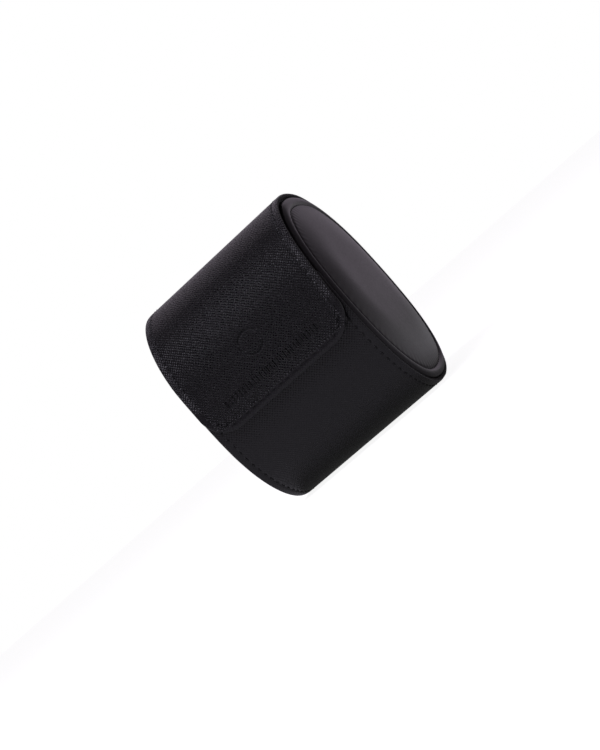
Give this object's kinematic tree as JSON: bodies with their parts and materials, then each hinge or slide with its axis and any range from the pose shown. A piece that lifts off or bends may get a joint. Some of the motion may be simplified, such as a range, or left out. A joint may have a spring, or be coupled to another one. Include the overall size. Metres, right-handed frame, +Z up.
{
  "type": "watch travel roll",
  "caption": "Short drum-shaped leather travel case for a wrist watch, with padded end discs, a stitched flap that wraps over its opening and a soft cushion inside.",
  "frame": {"origin": "centre of the flat that the roll stands on", "axes": "+Z up, X along the roll's length, -Y towards the front where the flap closes"},
  "size_m": [0.0734, 0.0903, 0.0888],
  "materials": {
    "grained_leather": "black leather with a fine cross-hatched embossed grain, satin gloss, rolled edges",
    "smooth_leather": "soft black leather with a faint pebble, satin, padded",
    "thread": "black waxed sewing thread",
    "board": "black-dyed pressed fibreboard, matte, almost all of it under leather and lining",
    "suede_lining": "black microsuede lining",
    "cushion_suede": "black microsuede cushion cloth",
    "foam": "soft polyurethane foam, hidden",
    "magnet": "nickel-plated disc magnet, hidden"
  },
  "bodies": {
    "case": {"wrap_leather": "grained_leather", "wrap_board": "board", "wrap_stitching": "thread", "core_tub": "board", "tub_lining": "suede_lining", "wall_magnets": "magnet", "left_disc_cover": "smooth_leather", "left_disc_board": "board", "left_disc_foam": "foam", "left_disc_stitching": "thread", "left_disc_lining": "suede_lining", "right_disc_cover": "smooth_leather", "right_disc_board": "board", "right_disc_foam": "foam", "right_disc_stitching": "thread", "right_disc_lining": "suede_lining"},
    "lid": {"lid_leather": "grained_leather", "lid_board": "board", "lid_lining": "suede_lining", "lid_stitching": "thread"},
    "flap_end": {"flap_end_leather": "grained_leather", "flap_end_board": "board", "flap_end_lining": "suede_lining", "flap_end_stitching": "thread", "flap_magnets": "magnet"},
    "cushion": {"cushion_foam": "foam", "cushion_sleeve": "cushion_suede", "left_cushion_end": "cushion_suede", "right_cushion_end": "cushion_suede"}
  },
  "joints": [
    {"name": "lid_hinge", "type": "hinge", "parent": "case", "child": "lid", "pos_m": [0, 0.03985, 0.06671], "axis": [-1, 0, 0], "range_deg": [0, 120]},
    {"name": "flap_end_bend", "type": "hinge", "parent": "lid", "child": "flap_end", "pos_m": [0, -0.03292, 0.079], "axis": [-1, 0, 0], "range_deg": [0, 60]},
    {"name": "cushion_lift", "type": "slide", "parent": "case", "child": "cushion", "axis": [0, 0, 1], "range_m": [0, 0.035]}
  ]
}
